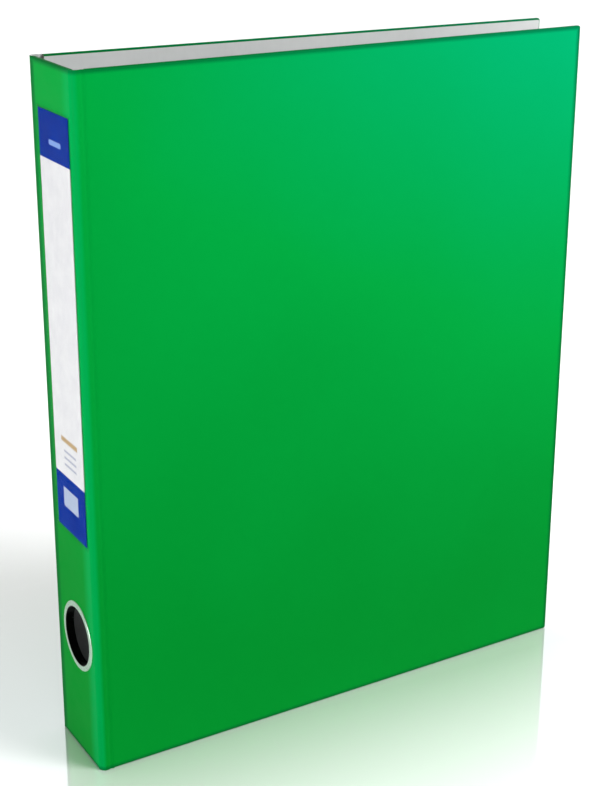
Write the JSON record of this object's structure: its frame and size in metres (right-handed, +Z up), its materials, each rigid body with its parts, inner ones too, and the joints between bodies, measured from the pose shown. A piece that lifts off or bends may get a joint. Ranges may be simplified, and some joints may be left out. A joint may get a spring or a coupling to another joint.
{
  "type": "lever arch file",
  "caption": "Upright lever arch file: hinged film-covered board case with finger ring and spine label, and a riveted lever mechanism with swinging arches, fixed posts and a sliding bar.",
  "frame": {"origin": "bottom centre of the closed case, on the surface it stands on", "axes": "+X from the spine to the fore-edge, +Y from the front cover to the back cover, +Z up the file"},
  "size_m": [0.2858, 0.0527, 0.345],
  "materials": {
    "film_green": "smooth semi-gloss film over board",
    "greyboard": "grey board core",
    "lining": "matt grey lining paper",
    "ring_metal": "nickel-plated eyelet",
    "pocket_film": "clear film",
    "label_paper": "white card with blue ends",
    "plate_steel": "nickel-plated sheet steel",
    "bright_steel": "bright nickel-plated wire and tube",
    "rivet_steel": "nickel-plated rivets",
    "roller_plastic": "black moulded roller",
    "bar_plastic": "black moulded bar"
  },
  "bodies": {
    "back_cover": {"back_cover_board": "greyboard", "back_cover_film": "film_green", "back_cover_lining": "lining", "back_hinge_strip": "film_green", "base_plate": "plate_steel", "mechanism_rivets": "rivet_steel", "lower_post": "bright_steel", "upper_post": "bright_steel", "lever_pivots": "rivet_steel"},
    "spine": {"spine_board": "greyboard", "spine_film": "film_green", "spine_lining": "lining", "front_hinge_strip": "film_green", "finger_ring": "ring_metal", "finger_ring_washer": "ring_metal", "label_pocket": "pocket_film"},
    "front_cover": {"front_cover_board": "greyboard", "front_cover_film": "film_green", "front_cover_lining": "lining"},
    "label": {"label_card": "label_paper"},
    "arches": {"arch_wire": "bright_steel"},
    "lever": {"lever": "plate_steel", "roller_pin": "rivet_steel"},
    "roller": {"lever_roller": "roller_plastic"},
    "compressor": {"compressor_bar": "bar_plastic"}
  },
  "joints": [
    {"name": "spine_hinge", "type": "hinge", "parent": "back_cover", "child": "spine", "pos_m": [-0.1416, 0.0251, 0.1725], "axis": [0, 0, -1], "range_deg": [0, 90], "deforming": ["back_hinge_strip"]},
    {"name": "front_cover_hinge", "type": "hinge", "parent": "spine", "child": "front_cover", "pos_m": [-0.1416, -0.0251, 0.1725], "axis": [0, 0, -1], "range_deg": [0, 180], "deforming": ["front_hinge_strip"]},
    {"name": "lever_lift", "type": "hinge", "parent": "back_cover", "child": "lever", "pos_m": [-0.12288, 0.0148, 0.1635], "axis": [-1, 0, 0], "range_deg": [0, 42]},
    {"name": "arch_swing", "type": "hinge", "parent": "back_cover", "child": "arches", "pos_m": [-0.1085, 0.0195, 0.1725], "axis": [0, 0, -1], "range_deg": [0, 26]},
    {"name": "roller_spin", "type": "hinge", "parent": "lever", "child": "roller", "pos_m": [-0.12288, 0.00619, 0.17068], "axis": [1, 0, 0], "continuous": true},
    {"name": "compressor_slide", "type": "slide", "parent": "back_cover", "child": "compressor", "axis": [0, -1, 0], "range_m": [0, 0.013]},
    {"name": "label_slide", "type": "slide", "parent": "spine", "child": "label", "axis": [0, 0, 1], "range_m": [0, 0.19]}
  ],
  "couplings": [
    {"joint": "arch_swing", "follows": "lever_lift", "ratio": 0.619}
  ]
}
